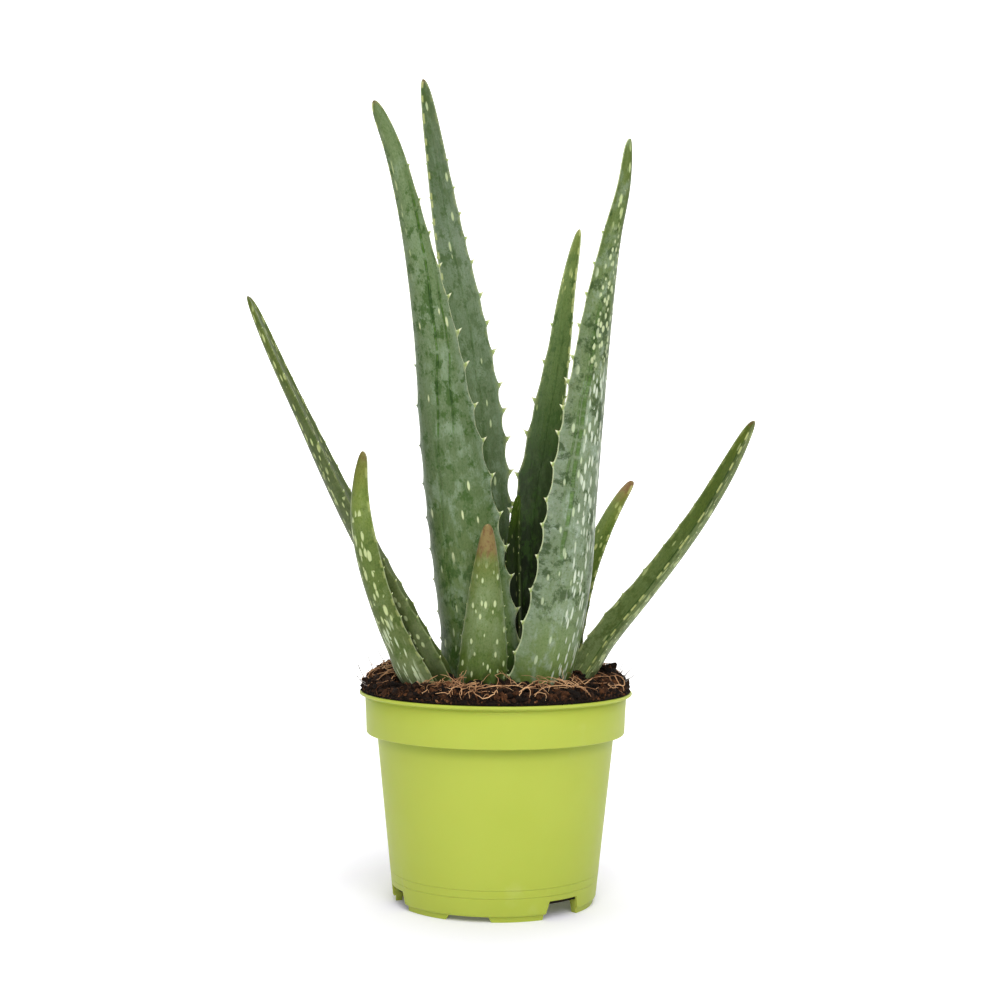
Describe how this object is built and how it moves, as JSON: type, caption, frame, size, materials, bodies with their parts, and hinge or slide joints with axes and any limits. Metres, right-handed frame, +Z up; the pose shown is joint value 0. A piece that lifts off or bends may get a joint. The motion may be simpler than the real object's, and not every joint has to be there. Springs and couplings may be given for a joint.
{
  "type": "potted aloe plant",
  "caption": "Young potted aloe: tall toothed fleshy leaves in a loose rosette, standing in dark soil in a round tapered green nursery pot with a wide top band.",
  "frame": {"origin": "on the pot's axis, at the level of its foot", "axes": "+Z up along the pot's axis, -Y towards the front of the picture, +X to its right"},
  "size_m": [0.221, 0.12, 0.369],
  "materials": {
    "pot_plastic": "satin lime green polypropylene",
    "soil": "loose dark peat and coir crumbs",
    "stem": "pale fibrous plant stem",
    "leaf_grey_green": "satin leaf skin with a grey bloom and pale spots",
    "leaf_dark_green": "satin dark leaf skin",
    "leaf_olive_green": "satin olive leaf skin with a brown tip"
  },
  "bodies": {
    "root": {"pot": "pot_plastic", "soil": "soil", "stem": "stem", "leaf_tall_left": "leaf_grey_green", "leaf_tall_back": "leaf_grey_green", "leaf_tall_right": "leaf_grey_green", "leaf_inner_right": "leaf_dark_green", "leaf_long_left": "leaf_grey_green", "leaf_long_right": "leaf_grey_green", "leaf_short_left": "leaf_grey_green", "leaf_short_front": "leaf_olive_green", "leaf_short_right": "leaf_olive_green", "leaf_heart": "leaf_dark_green"}
  },
  "joints": []
}
